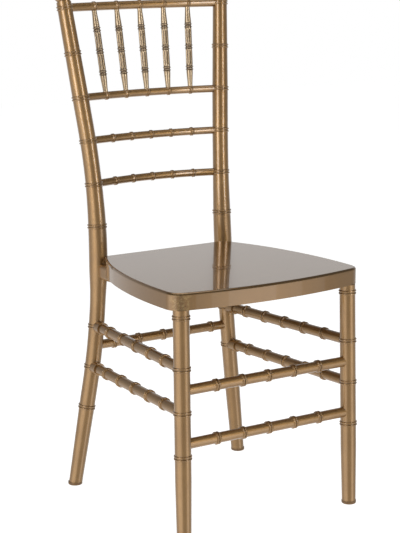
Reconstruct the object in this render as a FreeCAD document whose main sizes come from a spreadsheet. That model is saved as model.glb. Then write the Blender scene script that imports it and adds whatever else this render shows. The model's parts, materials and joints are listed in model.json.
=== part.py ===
import FreeCAD, Part
import math
import os

import Sketcher
from FreeCAD import Placement, Rotation, Vector

# Driving dimensions in millimetres: word, value, meaning
# X runs across the chair, Y from front to back, Z up from the floor
SIZES = (
    ("seat_height", 452.7, "floor to the top of the seat"),
    ("skirt_height", 31, "depth of the seat's edge"),
    ("seat_wall", 4.5, "thickness of the seat's top and skirt"),
    ("seat_front", 235, "front edge ahead of the origin, at the middle"),
    ("seat_back_inset", 9.4, "back edge ahead of the posts' centre lines"),
    ("seat_spread", 206, "half width of the seat where it is widest"),
    ("seat_widest", 165, "that widest place ahead of the origin"),
    ("seat_front_radius", 870, "bow of the front edge"),
    ("seat_side_radius", 760, "bow of the side edges"),
    ("seat_shoulder", 28, "side edges start to turn in faster this far behind the origin"),
    ("seat_back_narrowing", 7.3, "ends of the back edge inboard of the posts' centre lines"),
    ("seat_corner_radius", 27, "rounding of the front corners in plan"),
    ("seat_edge_radius", 4.6, "rounding of the seat's top edge"),
    ("rib_thickness", 2.5, "stiffening ribs under the seat"),
    ("rib_depth", 16, "how far the ribs hang below the top sheet"),
    ("rib_pitch", 74, "spacing of the ribs, both ways"),
    ("corner_block_radius", 17, "block in a front corner that takes a leg"),
    ("rear_block_length", 26, "block in a rear corner that takes a seat bolt"),
    ("rear_block_shoulder", 9, "how far that block reaches inboard of the bracket"),
    ("front_leg_side_inset", 23.3, "front legs at seat height, inboard of the seat's widest place"),
    ("front_leg_inset", 33.8, "front legs at seat height, behind the front edge"),
    ("front_leg_splay", 2.8, "how far a front leg runs out sideways to its foot"),
    ("front_leg_rake", 13.8, "how far a front leg runs forward to its foot"),
    ("leg_radius", 14.7, "front leg"),
    ("leg_taper_height", 110, "height over which a front leg narrows to its foot"),
    ("foot_radius", 13, "legs at the floor"),
    ("rear_foot_spread", 193, "half spacing of the rear feet"),
    ("rear_foot_setback", 163.5, "rear feet behind the origin"),
    ("bend_spread", 128.7, "half spacing where the leg and stile lines of a post cross"),
    ("bend_setback", 134.3, "that crossing behind the origin"),
    ("bend_drop", 5.6, "that crossing below the top of the seat"),
    ("bend_radius", 1540, "long bend that joins leg and stile"),
    ("crest_spread", 175.2, "half spacing of the posts at the crest rail"),
    ("crest_setback", 207.1, "crest ends behind the origin"),
    ("post_top_rise", 11, "top of the posts above the crest rail, under their caps"),
    ("post_leg_radius", 15.1, "rear post below the seat"),
    ("post_seat_radius", 17.8, "rear post where the seat joins it"),
    ("post_stile_radius", 15.5, "rear post above the seat"),
    ("post_tip_radius", 14, "rear post at its top"),
    ("seat_joint_drop", 17, "place where a post is thickest, below the top of the seat"),
    ("seat_swell_reach", 74, "height over which that swelling dies away below the seat"),
    ("seat_swell_rise", 200, "height over which it dies away above the seat"),
    ("ring_bead_radius", 1.6, "each of the two beads of a ring on a leg or post"),
    ("ring_gap", 1.8, "groove between those beads"),
    ("ring_step", 0.2, "how far a ring's band stands out under its beads"),
    ("leg_ring_drop", 45.7, "bare ring on the front legs, below the top of the seat"),
    ("foot_ring_drop", 22.4, "bare ring low on all four legs, below the lower front rung"),
    ("waist_ring_rise", 56.3, "bare ring on the posts, above the top of the seat"),
    ("stile_ring_rise", 82.5, "bare ring on the posts behind the spindles, above the spindle rail"),
    ("side_rung_upper_drop", 137.2, "upper side rungs and their rings, below the top of the seat"),
    ("side_rung_lower_drop", 79.2, "lower side rungs and their rings, below the upper ones"),
    ("front_rung_upper_drop", 39.6, "upper front rung, below the upper side rungs"),
    ("front_rung_lower_drop", 57.3, "lower front rung, below the lower side rungs"),
    ("back_rung_drop", 38.2, "back rung, below the upper side rungs"),
    ("side_rung_radius", 9.7, "side rungs between their nodes"),
    ("front_rung_radius", 9.5, "front rungs between their nodes"),
    ("back_rung_radius", 8.9, "back rung between its nodes"),
    ("rung_ring_pitch", 56.5, "spacing of the nodes on a rung"),
    ("rung_node_rise", 0.4, "how far a rung thickens towards a node"),
    ("rung_node_reach", 6.5, "length of that thickening on each side"),
    ("rung_bead_radius", 1.8, "beads of a rung's node"),
    ("boss_radius", 12.2, "boss on a rear leg round the end of a side rung"),
    ("boss_reach", 30, "end of that boss from the leg's centre line"),
    ("lower_back_rail_rise", 135.5, "lower of the two open back rails, above the top of the seat"),
    ("upper_back_rail_rise", 81.7, "upper open back rail, above the lower one"),
    ("spindle_rail_rise", 80.9, "rail under the spindles, above the upper open back rail"),
    ("crest_rail_rise", 167.2, "crest rail, above the rail under the spindles"),
    ("crest_rail_radius", 8.1, "crest rail"),
    ("rail_radius", 7.2, "the other back rails"),
    ("crest_rail_bow", 19.5, "how far the crest rail bows back"),
    ("spindle_rail_bow", 19.2, "how far the rail under the spindles bows back"),
    ("upper_back_rail_bow", 18, "how far the upper back rail bows back"),
    ("lower_back_rail_bow", 24, "how far the lower back rail bows back"),
    ("crest_ring_pitch", 53, "nodes of the crest rail and tops of the spindles"),
    ("spindle_ring_pitch", 48, "nodes of the spindle rail and feet of the spindles"),
    ("back_rail_ring_pitch", 45, "nodes of the two open back rails"),
    ("rail_node_rise", 0.4, "how far a rail thickens at a node"),
    ("rail_node_reach", 5.5, "length of that thickening on each side"),
    ("rail_bead_radius", 1.0, "beads of a rail's node"),
    ("spindle_end_radius", 4.7, "spindles where they enter the rails"),
    ("spindle_radius", 6.7, "spindles between their outer rings"),
    ("spindle_node_rise", 0.3, "how far a spindle thickens at a ring"),
    ("spindle_node_reach", 4, "length of that thickening on each side"),
    ("spindle_bead_radius", 1.1, "beads of a spindle's ring"),
    ("bead_gap", 1.0, "groove between the two beads of a node"),
    ("rung_depth", 9, "how deep a rung or rail enters a leg or post"),
    ("spindle_depth", 6, "how deep a spindle enters a rail"),
    ("fit_clearance", 0.15, "play round everything that plugs in"),
    ("seat_clearance", 0.4, "play between the seat and a post"),
    ("tenon_radius", 9.5, "tenon on top of a front leg"),
    ("tenon_length", 20, "length of that tenon"),
    ("tenon_end_gap", 1, "room above that tenon"),
    ("seat_boss_width", 16, "bracket on a post that carries the seat"),
    ("seat_boss_height", 30, "height of that bracket"),
    ("seat_boss_drop", 29, "centre of that bracket below the top of the seat"),
    ("seat_boss_reach", 47, "end of that bracket ahead of the post's centre line"),
    ("seat_bolt_drop", 21, "seat bolts below the top of the seat"),
    ("bolt_radius", 3, "seat bolts"),
    ("bolt_head_radius", 5, "head of a seat bolt"),
    ("bolt_head_height", 5, "height of that head"),
    ("bolt_head_setback", 8, "head's seat behind the post's centre line"),
    ("bolt_key_size", 5, "hexagon socket across its flats"),
    ("bolt_key_depth", 3, "depth of that socket"),
    ("insert_radius", 4.4, "threaded insert in a rear block"),
    ("insert_length", 16, "length of that insert"),
    ("screw_radius", 2, "screw that locks a front leg's tenon"),
    ("screw_head_radius", 4, "head of that screw"),
    ("screw_head_height", 2.5, "height of that head"),
    ("screw_head_offset", 13, "head's seat from the leg's centre line"),
    ("screw_length", 16, "length of that screw under its head"),
    ("screw_drop", 20, "locking screws below the top of the seat"),
    ("cap_spigot_radius", 4.2, "spigot of a post cap"),
    ("cap_spigot_length", 12, "length of that spigot"),
    ("cap_neck_radius", 12.6, "neck of a post cap"),
    ("cap_neck_height", 2.2, "height of that neck"),
    ("cap_radius", 15.4, "button of a post cap"),
    ("cap_button_height", 9, "height of the button's rim"),
    ("cap_dome_radius", 13.4, "foot of the dome on the button"),
    ("cap_height", 18.5, "whole cap above the post"),
    ("glide_radius", 13.8, "glide under a leg"),
    ("glide_height", 6, "height of a glide below the leg's end"),
    ("glide_round", 2.5, "rounded lower edge of a glide"),
    ("glide_spigot_radius", 4, "spigot of a glide"),
    ("glide_spigot_length", 12, "length of that spigot"),
)

SIDES = (("left", -1), ("right", 1))
UP = Vector(0, 0, 1)
NODES_PER_RUNG = 5
NODES_PER_SPINDLE = 3
SPINDLES = 5
RIBS_EACH_WAY = 4
BEND_SECTIONS = 19
RISES_FROM = {
    "waist_ring": "seat", "lower_back_rail": "seat", "upper_back_rail": "lower_back_rail",
    "spindle_rail": "upper_back_rail", "stile_ring": "spindle_rail", "crest_rail": "spindle_rail",
    "post_top": "crest_rail",
}
DROPS_FROM = {
    "bend": "seat", "seat_joint": "seat", "seat_boss": "seat", "seat_bolt": "seat", "screw": "seat",
    "leg_ring": "seat", "side_rung_upper": "seat", "side_rung_lower": "side_rung_upper",
    "front_rung_upper": "side_rung_upper", "back_rung": "side_rung_upper",
    "front_rung_lower": "side_rung_lower", "foot_ring": "front_rung_lower",
}
POST_RINGS = ("foot_ring", "side_rung_lower", "side_rung_upper", "waist_ring", "lower_back_rail",
              "upper_back_rail", "spindle_rail", "stile_ring", "crest_rail")
MARGIN = 5  # how far a cutting tool runs past the surface it breaks through
BLOCK = 4  # side of a levelling block, in radii of the leg that it cuts
FLARE = 0.1  # share of a node's rise that its flare reaches halfway along
DIAGONAL = 1 - math.sqrt(0.5)  # share of its radius by which a quarter round clears its corner
SEAM_TURN = 50  # degrees from straight back to the seam of a post's skin, kept clear of all sockets
FORWARD = Vector(0, -1, 0)

doc = FreeCAD.newDocument("chiavari_chair")
sheet = doc.addObject("Spreadsheet::Sheet", "Sizes")
for row, (word, number, meaning) in enumerate(SIZES, 1):
    sheet.set(f"A{row}", word)
    sheet.set(f"B{row}", str(number))
    sheet.set(f"C{row}", meaning)
    sheet.setAlias(f"B{row}", word)
layout = doc.addObject("Spreadsheet::Sheet", "Layout")
doc.recompute()

finished = []


# Reading the sheets

def value(words):
    """Number that an expression on the sheets gives."""
    answer = sheet.evalExpression(str(words))
    return float(getattr(answer, "Value", answer))


def size(word):
    return value(f"Sizes.{word}")


def level(word):
    """Height above the floor, along the chain of what it is measured from."""
    if word in RISES_FROM:
        return level(RISES_FROM[word]) + size(f"{word}_rise")
    if word in DROPS_FROM:
        return level(DROPS_FROM[word]) - size(f"{word}_drop")
    return size(f"{word}_height")


def worked_out(word, number):
    """Keep a length that follows from the driving ones, and give its name."""
    row = len(layout.getUsedCells()) + 1
    layout.set(f"A{row}", repr(float(number)))
    layout.setAlias(f"A{row}", word)
    layout.recompute()
    return f"Layout.{word}"


# Centre lines of the legs and posts

def mirrored(point, side):
    return Vector(side * point.x, point.y, point.z)


class StraightAxis:
    """Centre line of a front leg, from its foot to the seat."""

    def __init__(self, side):
        across = size("seat_spread") - size("front_leg_side_inset")
        ahead = size("seat_front") - size("front_leg_inset")
        top = Vector(across, -ahead, level("seat"))
        foot = Vector(across + size("front_leg_splay"), -ahead - size("front_leg_rake"), 0)
        self.foot = mirrored(foot, side)
        self.direction = (mirrored(top, side) - self.foot).normalize()

    def at(self, height):
        """Point and direction of the line at a height."""
        along = (height - self.foot.z) / self.direction.z
        return self.foot + self.direction * along, self.direction


class BentAxis:
    """Centre line of a rear post: straight leg, long bend, straight stile."""

    def __init__(self, side):
        self.foot = Vector(side * size("rear_foot_spread"), size("rear_foot_setback"), 0)
        corner = Vector(side * size("bend_spread"), size("bend_setback"), level("bend"))
        crest = Vector(side * size("crest_spread"), size("crest_setback"), level("crest_rail"))
        self.leg = (corner - self.foot).normalize()
        self.stile = (crest - corner).normalize()
        self.radius = size("bend_radius")
        self.turn = self.leg.getAngle(self.stile)
        tangent = self.radius * math.tan(self.turn / 2)
        self.start = corner - self.leg * tangent
        self.end = corner + self.stile * tangent
        self.inward = (self.stile - self.leg * self.stile.dot(self.leg)).normalize()

    def bent(self, angle):
        """Point and direction on the bend, at an angle from its start."""
        point = self.start + self.leg * (self.radius * math.sin(angle))
        point += self.inward * (self.radius * (1 - math.cos(angle)))
        return point, self.leg * math.cos(angle) + self.inward * math.sin(angle)

    def at(self, height):
        """Point and direction of the line at a height."""
        if height <= self.start.z:
            return self.foot + self.leg * ((height - self.foot.z) / self.leg.z), self.leg
        if height >= self.end.z:
            return self.end + self.stile * ((height - self.end.z) / self.stile.z), self.stile
        low, high = 0.0, self.turn
        for _ in range(40):
            angle = (low + high) / 2
            if self.bent(angle)[0].z < height:
                low = angle
            else:
                high = angle
        return self.bent(angle)


front_axis = {name: StraightAxis(side) for name, side in SIDES}
rear_axis = {name: BentAxis(side) for name, side in SIDES}


# Building blocks

def placed(point, direction=UP, spin=0):
    """Placement whose Z runs along a direction."""
    return Placement(point, Rotation(UP, direction) * Rotation(UP, spin))


def primitive(kind, name, placement, **sizes):
    """Part primitive whose sizes follow the sheets."""
    thing = doc.addObject(f"Part::{kind}", name)
    for property_name, words in sizes.items():
        thing.setExpression(property_name, words)
    thing.Placement = placement
    return thing


def cylinder(name, start, direction, radius, length):
    return primitive("Cylinder", name, placed(start, direction), Radius=radius, Height=length)


def joined(name, pieces):
    if len(pieces) == 1:
        return pieces[0]
    fuse = doc.addObject("Part::MultiFuse", name)
    fuse.Shapes = pieces
    return fuse


def cut(name, base, tools):
    result = doc.addObject("Part::Cut", name)
    result.Base = base
    result.Tool = joined(f"{name}_tools", tools)
    return result


def finish(thing, name):
    """Mark an object as a finished piece, under the name of its node."""
    thing.Label = name
    finished.append(thing)
    return thing


def new_body(name):
    return doc.addObject("PartDesign::Body", name)


def plane(body, role):
    return next(item for item in body.Origin.OriginFeatures if item.Role == role)


def pin(sketch, geometry, point, corner):
    """Tie a point of a sketch to two expressions."""
    for letter, axis, words in (("X", -2, corner[0]), ("Y", -1, corner[1])):
        if words == "0":
            sketch.addConstraint(Sketcher.Constraint("PointOnObject", geometry, point, axis))
            continue
        tie = Sketcher.Constraint(f"Distance{letter}", -1, 1, geometry, point, value(words))
        number = sketch.addConstraint(tie)
        sketch.setExpression(f"Constraints[{number}]", words)


def outline(body, name, role, corners):
    """Closed outline through corners; one marked 'over' is the middle of an arc."""
    sketch = body.newObject("Sketcher::SketchObject", name)
    sketch.AttachmentSupport = [(plane(body, role), "")]
    sketch.MapMode = "FlatFace"
    at = [Vector(value(corner[0]), value(corner[1]), 0) for corner in corners]
    count = len(corners)
    ends = [index for index in range(count) if len(corners[index]) == 2]
    edges = []
    for here, after in zip(ends, ends[1:] + ends[:1]):
        first, last, over = 1, 2, None
        if (after - here) % count == 1:
            edge = Part.LineSegment(at[here], at[after])
        else:
            over = (here + 1) % count
            turn = (at[over] - at[here]).cross(at[after] - at[over]).z
            edge = Part.Arc(at[here], at[over], at[after])
            if turn < 0:
                first, last = 2, 1
                edge = Part.Arc(at[after], at[over], at[here])
        edges.append((sketch.addGeometry(edge), first, last, here, over))
    for edge, following in zip(edges, edges[1:] + edges[:1]):
        meeting = Sketcher.Constraint("Coincident", edge[0], edge[2], following[0], following[1])
        sketch.addConstraint(meeting)
    for number, first, last, here, over in edges:
        pin(sketch, number, first, corners[here])
        if over is not None:
            mark = sketch.addGeometry(Part.Point(at[over]), True)
            pin(sketch, mark, 1, corners[over])
            sketch.addConstraint(Sketcher.Constraint("PointOnObject", mark, 1, number))
    return sketch


def turned(body, name, corners):
    """Solid of revolution about the body's Z; a corner is (radius, height)."""
    profile = outline(body, f"{name}_profile", "XZ_Plane", corners)
    feature = body.newObject("PartDesign::Revolution", name)
    feature.Profile = profile
    feature.ReferenceAxis = (profile, ["V_Axis"])
    feature.Angle = 360
    body.Tip = feature
    return feature


def node_corners(radius, centre, rise, reach, bead):
    """Profile of a turned node: two beads on a gentle thickening, (radius, along)."""
    crown = f"({radius} + {rise})"
    half = "Sizes.bead_gap/2"
    flare, halfway = f"{radius} + {FLARE}*{rise}", f"({reach} + {half} + 2*{bead})/2"
    corners = [(f"{radius} - {rise}/2", f"{centre} - {reach}")]
    corners.append((flare, f"{centre} - {halfway}", "over"))
    corners.append((crown, f"{centre} - {half} - 2*{bead}"))
    corners.append((f"{crown} + {bead}", f"{centre} - {half} - {bead}", "over"))
    corners.append((crown, f"{centre} - {half}"))
    corners.append((crown, f"{centre} + {half}"))
    corners.append((f"{crown} + {bead}", f"{centre} + {half} + {bead}", "over"))
    corners.append((crown, f"{centre} + {half} + 2*{bead}"))
    corners.append((flare, f"{centre} + {halfway}", "over"))
    corners.append((f"{radius} - {rise}/2", f"{centre} + {reach}"))
    return corners


def row_of_nodes(body, radius, middle, pitch, count, family):
    """Nodes spaced along a straight turned piece, centred on its middle."""
    first = f"({middle} - {(count - 1) / 2}*{pitch})"
    rise, reach, bead = (f"Sizes.{family}_{word}" for word in ("node_rise", "node_reach", "bead_radius"))
    node = turned(body, "node", node_corners(radius, first, rise, reach, bead))
    nodes = body.newObject("PartDesign::LinearPattern", "nodes")
    nodes.Originals = [node]
    nodes.Direction = (node.Profile[0], ["V_Axis"])
    nodes.setExpression("Length", f"{count - 1}*{pitch}")
    nodes.Occurrences = count
    body.Tip = nodes


# Straight members: rungs and spindles

def rung(name, axes, height, radius, bosses=False):
    """Turned rung between two legs at one height, and the tool for its sockets."""
    ends = [axis.at(height)[0] for axis, _ in axes]
    direction = (ends[1] - ends[0]).normalize()
    depth = size("rung_depth")
    start = ends[0] + direction * (size(axes[0][1]) - depth)
    end = ends[1] - direction * (size(axes[1][1]) - depth)
    length = worked_out(f"{name}_length", (end - start).Length)
    body = new_body(name)
    turned(body, "shaft", [("0", "0"), (radius, "0"), (radius, length), ("0", length)])
    row_of_nodes(body, radius, f"{length}/2", "Sizes.rung_ring_pitch", NODES_PER_RUNG, "rung")
    body.Placement = placed(start, direction)
    finish(body, name)
    socket = cylinder(f"{name}_socket", start, direction, f"{radius} + Sizes.fit_clearance", length)
    if not bosses:
        return socket, None
    boss = cylinder(f"{name}_boss", ends[0], direction, "Sizes.boss_radius", "Sizes.boss_reach")
    return socket, boss


def spindle(name, foot, top):
    """Turned spindle between two rails, and the tool for its sockets."""
    direction = (top - foot).normalize()
    depth = size("spindle_depth")
    start = foot + direction * (size("rail_radius") - depth)
    end = top - direction * (size("crest_rail_radius") - depth)
    length = worked_out(f"{name}_length", (end - start).Length)
    thin, thick = "Sizes.spindle_end_radius", "Sizes.spindle_radius"
    pitch = f"{length}/{NODES_PER_SPINDLE + 1}"
    body = new_body(name)
    turned(body, "shaft", [
        ("0", "0"), (thin, "0"), (thin, "Sizes.spindle_depth"),
        (thick, pitch), (thick, f"{length} - {pitch}"),
        (thin, f"{length} - Sizes.spindle_depth"), (thin, length), ("0", length),
    ])
    row_of_nodes(body, thick, f"{length}/2", pitch, NODES_PER_SPINDLE, "spindle")
    body.Placement = placed(start, direction)
    finish(body, name)
    return cylinder(f"{name}_socket", start, direction, f"{thin} + Sizes.fit_clearance", length)


# Back rails, each an arc that bows back between the posts

class Rail:
    """Sizes of one bowed rail: it passes through both posts' centre lines."""

    def __init__(self, name, radius, pitch):
        self.name = name
        self.radius = f"Sizes.{radius}"
        self.pitch = size(pitch)
        self.height = level(name)
        end = rear_axis["right"].at(self.height)[0]
        bow = size(f"{name}_bow")
        self.arc = (end.x ** 2 + bow ** 2) / (2 * bow)
        self.middle = end.y + bow
        reach = end.x - post_radius(self.height) + size("rung_depth")
        self.sweep = 2 * math.degrees(math.asin(reach / self.arc))

    def point(self, across):
        """Point of the rail's centre line at a distance from the chair's middle."""
        back = self.middle - self.arc + math.sqrt(self.arc ** 2 - across ** 2)
        return Vector(across, back, self.height)

    def arc_body(self, name, radius):
        """Rod of a round section swept round the bow."""
        body = new_body(name)
        arc = f"Layout.{self.name}_arc"
        section = body.newObject("Sketcher::SketchObject", "section")
        section.AttachmentSupport = [(plane(body, "YZ_Plane"), "")]
        section.MapMode = "FlatFace"
        section.addGeometry(Part.Circle(Vector(self.arc, 0, 0), UP, value(radius)))
        section.addConstraint(Sketcher.Constraint("PointOnObject", 0, 3, -1))
        section.addConstraint(Sketcher.Constraint("DistanceX", -1, 1, 0, 3, self.arc))
        section.setExpression("Constraints[1]", arc)
        section.addConstraint(Sketcher.Constraint("Radius", 0, value(radius)))
        section.setExpression("Constraints[2]", radius)
        rod = body.newObject("PartDesign::Revolution", "rod")
        rod.Profile = section
        rod.ReferenceAxis = (section, ["V_Axis"])
        rod.Midplane = True
        rod.setExpression("Angle", f"Layout.{self.name}_sweep")
        body.Tip = rod
        body.Placement = placed(Vector(0, self.middle - self.arc, self.height))
        return body

    def add_nodes(self, body):
        """Nodes spaced round the bow, the first one at the left end."""
        step = math.degrees(self.pitch / self.arc)
        span = worked_out(f"{self.name}_span", step * (NODES_PER_RUNG - 1))
        arc = f"Layout.{self.name}_arc"
        corners = []
        words = ("Sizes.rail_node_rise", "Sizes.rail_node_reach", "Sizes.rail_bead_radius")
        for radius, along, *over in node_corners(self.radius, "0", *words):
            corners.append((along, f"{arc} + {radius}", *over))
        profile = outline(body, "node_profile", "XY_Plane", corners)
        profile.setExpression("AttachmentOffset.Rotation.Angle", f"{span}/2")
        centre_line = Part.LineSegment(Vector(-1, self.arc, 0), Vector(1, self.arc, 0))
        line = profile.addGeometry(centre_line, True)
        for point, across in ((1, "-Sizes.rail_node_reach"), (2, "Sizes.rail_node_reach")):
            pin(profile, line, point, (across, arc))
        node = body.newObject("PartDesign::Revolution", "node")
        node.Profile = profile
        node.ReferenceAxis = (profile, ["Axis0"])
        node.Angle = 360
        nodes = body.newObject("PartDesign::PolarPattern", "nodes")
        nodes.Originals = [node]
        nodes.Axis = (profile, ["N_Axis"])
        nodes.Reversed = True
        nodes.setExpression("Angle", span)
        nodes.Occurrences = NODES_PER_RUNG
        body.Tip = nodes

    def build(self):
        """Rod, its tool for the posts' sockets, and its nodes."""
        worked_out(f"{self.name}_arc", self.arc)
        worked_out(f"{self.name}_sweep", self.sweep)
        self.body = self.arc_body(f"{self.name}_rod", self.radius)
        self.add_nodes(self.body)
        self.socket = self.arc_body(f"{self.name}_socket", f"{self.radius} + Sizes.fit_clearance")


# Rear posts

def post_radius(height):
    """Radius of a post at a height: it narrows to its foot and tip, and swells at the seat."""
    leg, stile, joint = size("post_leg_radius"), size("post_stile_radius"), level("seat_joint")
    ring_height, rail_height = level("foot_ring"), level("spindle_rail")
    share = min(1, max(0, (height - joint) / size("seat_swell_reach") / 2 + 0.5))
    radius = leg + (stile - leg) * share
    if height < ring_height:
        radius += (size("foot_radius") - leg) * (ring_height - height) / ring_height
    if height > rail_height:
        narrowing = size("post_tip_radius") - stile
        radius += narrowing * (height - rail_height) / (level("post_top") - rail_height)
    reach = size("seat_swell_rise") if height > joint else size("seat_swell_reach")
    near = min(1, abs(height - joint) / reach)
    return radius + (size("post_seat_radius") - (leg + stile) / 2) * math.cos(near * math.pi / 2) ** 2


def ring(name, axis, word, radius):
    """Band with two beads round a leg or post at a named height."""
    band, bead = f"({radius} + Sizes.ring_step)", "Sizes.ring_bead_radius"
    groove, crest = "Sizes.ring_gap/2", f"(Sizes.ring_gap/2 + {bead})"
    end = f"(Sizes.ring_gap/2 + 2*{bead})"
    body = new_body(name)
    turned(body, "band", [
        ("0", f"-{end}"), (band, f"-{end}"), (f"{band} + {bead}", f"-{crest}", "over"),
        (band, f"-{groove}"), (band, groove),
        (f"{band} + {bead}", crest, "over"), (band, end), ("0", end),
    ])
    body.Placement = placed(*axis.at(level(word)))
    return body


def straight_piece(name, side, low, high):
    """Straight part of a post between two heights, tapering evenly."""
    start, direction = rear_axis[side].at(low)
    length = worked_out(f"{name}_length", (rear_axis[side].at(high)[0] - start).Length)
    return primitive("Cone", name, placed(start, direction), Height=length,
                     Radius1=worked_out(f"{name}_low", post_radius(low)),
                     Radius2=worked_out(f"{name}_high", post_radius(high)))


def bent_piece(name, side, low, high):
    """Bent part of a post between two heights, of changing thickness."""
    seam = 90 - dict(SIDES)[side] * SEAM_TURN
    sections = []
    for number in range(BEND_SECTIONS):
        height = low + (high - low) * number / (BEND_SECTIONS - 1)
        radius = worked_out(f"{name}_radius_{number}", post_radius(height))
        placement = placed(*rear_axis[side].at(height), seam)
        sections.append(primitive("Circle", f"{name}_section_{number}", placement, Radius=radius))
    piece = doc.addObject("Part::Loft", name)
    piece.Sections = sections
    piece.Solid = True
    piece.Ruled = False
    return piece


def post_pieces(side):
    """Lengths of a post, which meet under its rings."""
    ring_height, taper, top = level("foot_ring"), level("spindle_rail"), level("post_top")
    return [straight_piece(f"post_{side}_foot", side, -MARGIN, ring_height),
            bent_piece(f"post_{side}_bend", side, ring_height, taper),
            straight_piece(f"post_{side}_tip", side, taper, top)]


def post_rings(side):
    beads = []
    for name in POST_RINGS:
        radius = worked_out(f"post_{side}_{name}_radius", post_radius(level(name)))
        beads.append(ring(f"post_{side}_{name}_beads", rear_axis[side], name, radius))
    return beads


def seat_boss(side):
    """Bracket on a post, rounded above and below, that carries the seat."""
    centre = rear_axis[side].at(level("seat_boss"))[0]
    body = new_body(f"post_{side}_seat_boss")
    half, tall = "Sizes.seat_boss_width/2", "Sizes.seat_boss_height/2"
    flat = f"({tall} - {half})"
    profile = outline(body, "section", "XY_Plane", [
        (f"-{half}", f"-{flat}"), ("0", f"-{tall}", "over"), (half, f"-{flat}"),
        (half, flat), ("0", tall, "over"), (f"-{half}", flat),
    ])
    pad = body.newObject("PartDesign::Pad", "bracket")
    pad.Profile = profile
    pad.setExpression("Length", "Sizes.seat_boss_reach")
    body.Tip = pad
    body.Placement = Placement(centre, Rotation(Vector(1, 0, 0), 90))
    return body


def bolt_start(side):
    """Seat of a bolt's head, behind a post."""
    return rear_axis[side].at(level("seat_bolt"))[0] + Vector(0, size("bolt_head_setback"), 0)


def rear_post(side, bosses, sockets):
    """One post from floor to crest, with its rings, bosses and sockets."""
    pieces = post_pieces(side) + post_rings(side)
    solid = joined(f"post_{side}_solid", pieces + [seat_boss(side)] + bosses)
    head = bolt_start(side)
    shank = cylinder(f"post_{side}_bolt_hole", head, FORWARD, "Sizes.bolt_radius + Sizes.fit_clearance",
                     f"Sizes.bolt_head_setback + Sizes.seat_boss_reach + {MARGIN}")
    recess = cylinder(f"post_{side}_head_recess", head, -FORWARD,
                      "Sizes.bolt_head_radius + Sizes.fit_clearance", "2*Sizes.post_seat_radius")
    top, direction = rear_axis[side].at(level("post_top"))
    spigot = cylinder(f"post_{side}_cap_hole", top, -direction,
                      "Sizes.cap_spigot_radius + Sizes.fit_clearance",
                      "Sizes.cap_spigot_length + Sizes.fit_clearance")
    floor = floor_block(f"post_{side}_floor", rear_axis[side])
    glide = glide_hole(f"post_{side}_glide_hole", rear_axis[side])
    return cut(f"rear_post_{side}", solid, [shank, recess, spigot, floor, glide] + sockets)


# Feet

def block(name, middle, drop, radius, extra="0"):
    """Levelling block round a leg's line, from a drop below a point."""
    wide = BLOCK * value(radius)
    corner = middle - Vector(wide / 2, wide / 2, drop)
    side = f"{BLOCK}*{radius}"
    return primitive("Box", name, Placement(corner, Rotation()),
                     Length=side, Width=side, Height=f"{side} + {extra}")


def floor_block(name, axis):
    """Block that levels a leg's end on top of its glide."""
    drop = BLOCK * size("foot_radius")
    return block(name, axis.at(0)[0], drop, "Sizes.foot_radius", "Sizes.glide_height")


def glide_hole(name, axis):
    return cylinder(name, axis.at(0)[0], UP, "Sizes.glide_spigot_radius + Sizes.fit_clearance",
                    "Sizes.glide_height + Sizes.glide_spigot_length + Sizes.fit_clearance")


def glide(name, axis):
    """Button under a leg, with a rounded lower edge and a spigot."""
    body = new_body(name)
    wide, tall, spigot = "Sizes.glide_radius", "Sizes.glide_height", "Sizes.glide_spigot_radius"
    edge, top = "Sizes.glide_round", "Sizes.glide_height + Sizes.glide_spigot_length"
    share = f"{DIAGONAL}*{edge}"
    turned(body, "button", [
        ("0", "0"), (f"{wide} - {edge}", "0"), (f"{wide} - {share}", share, "over"),
        (wide, edge), (wide, tall), (spigot, tall), (spigot, top), ("0", top),
    ])
    body.Placement = placed(axis.at(0)[0])
    finish(body, name)


def post_cap(side):
    """Button finial on a post: spigot, neck, round rim and a dome that is part of a ball."""
    body = new_body(f"post_cap_{side}")
    neck, rim, dome = "Sizes.cap_neck_radius", "Sizes.cap_radius", "Sizes.cap_dome_radius"
    low, high = "Sizes.cap_neck_height", "(Sizes.cap_neck_height + Sizes.cap_button_height)"
    top, deep = "Sizes.cap_height", "Sizes.cap_spigot_length"
    rise = f"({top} - {high})"
    ball = f"({dome}^2 + {rise}^2)/(2*{rise})"
    turned(body, "button", [
        ("0", f"-{deep}"), ("Sizes.cap_spigot_radius", f"-{deep}"), ("Sizes.cap_spigot_radius", "0"),
        (neck, "0"), (neck, low), (rim, f"({low} + {high})/2", "over"), (dome, high),
        (f"{dome}/2", f"{top} - {ball} + sqrt(({ball})^2 - ({dome}/2)^2)", "over"), ("0", top),
    ])
    body.Placement = placed(*rear_axis[side].at(level("post_top")))
    finish(body, f"post_cap_{side}")


# Front legs

def locking_screw(side, outwards):
    """Seat of the head of the screw that locks a leg's tenon."""
    return front_axis[side].at(level("screw"))[0] - outwards * size("screw_head_offset")


def outward(side):
    """Level direction from a front leg out through the seat's corner."""
    return Vector(dict(SIDES)[side], -1, 0).normalize()


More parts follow.
